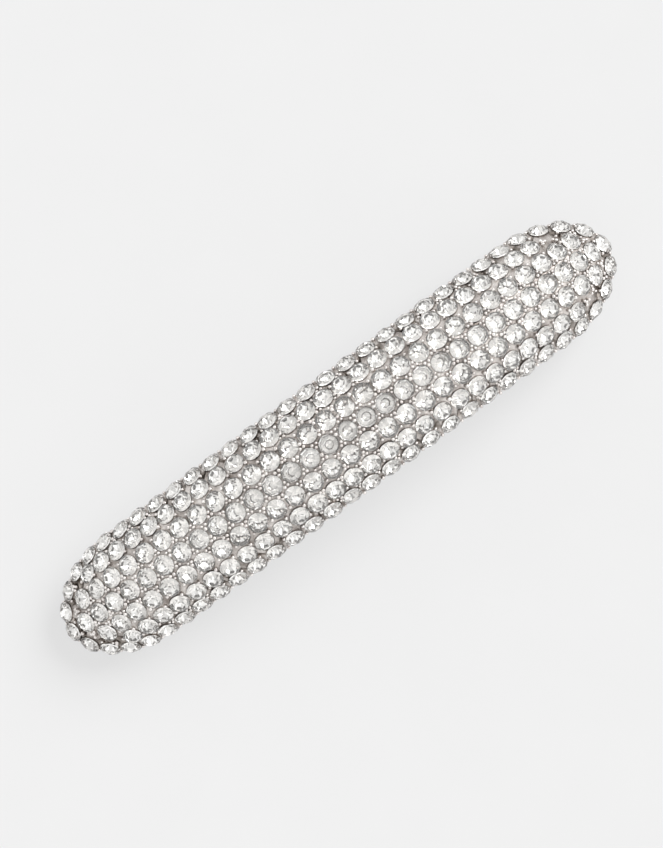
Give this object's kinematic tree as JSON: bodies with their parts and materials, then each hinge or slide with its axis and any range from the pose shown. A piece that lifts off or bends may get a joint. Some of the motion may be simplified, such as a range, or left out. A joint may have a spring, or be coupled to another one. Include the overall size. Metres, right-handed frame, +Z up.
{
  "type": "rhinestone hair clip",
  "caption": "Arched hair barrette: a domed cast shell with rounded ends, paved with clear round stones, on a steel snap clip with a swing arm and squeeze catch.",
  "frame": {"origin": "under the middle of the clip, on the surface it lies on (bottom centre of its box)", "axes": "+X along the clip from the hinge to the catch, +Y across it, +Z up, away from the hair"},
  "size_m": [0.0966, 0.0176, 0.0203],
  "materials": {
    "cast_metal": "silver-toned plated casting, slightly uneven, with small setting beads",
    "crystal": "clear cut glass with a silver foil back",
    "steel": "bright nickel-plated pressed steel",
    "spring_steel": "satin plated spring steel"
  },
  "bodies": {
    "clip": {"cast_body": "cast_metal", "stones_centre_row": "crystal", "stones_inner_row_left": "crystal", "stones_inner_row_right": "crystal", "stones_outer_row_left": "crystal", "stones_outer_row_right": "crystal", "stones_flank_row_left": "crystal", "stones_flank_row_right": "crystal", "stones_hinge_end": "crystal", "stones_catch_end": "crystal", "base_plate": "steel", "fixing_rivet_hinge_end": "steel", "fixing_rivet_catch_end": "steel", "hinge_pin": "steel", "catch_block": "steel", "catch_rivet": "steel"},
    "arm": {"swing_arm": "steel"},
    "bow": {"tension_bow": "spring_steel"},
    "prong_left": {"catch_prong_left": "spring_steel"},
    "prong_right": {"catch_prong_right": "spring_steel"}
  },
  "joints": [
    {"name": "arm_hinge", "type": "hinge", "parent": "clip", "child": "arm", "pos_m": [-0.0358, 0, 0.0018], "axis": [0, 1, 0], "range_deg": [0, 70]},
    {"name": "bow_flex", "type": "hinge", "parent": "clip", "child": "bow", "pos_m": [-0.0358, 0, 0.0018], "axis": [0, -1, 0], "range_deg": [0, 1.1], "stiffness_Nm_per_rad": 0.05},
    {"name": "squeeze_left", "type": "hinge", "parent": "clip", "child": "prong_left", "pos_m": [0.0354, 0.00145, 0.005], "axis": [-1, 0, 0], "range_deg": [0, 8], "stiffness_Nm_per_rad": 0.002},
    {"name": "squeeze_right", "type": "hinge", "parent": "clip", "child": "prong_right", "pos_m": [0.0354, -0.00145, 0.005], "axis": [1, 0, 0], "range_deg": [0, 8], "stiffness_Nm_per_rad": 0.002}
  ],
  "couplings": [
    {"joint": "squeeze_right", "follows": "squeeze_left", "ratio": 1}
  ]
}
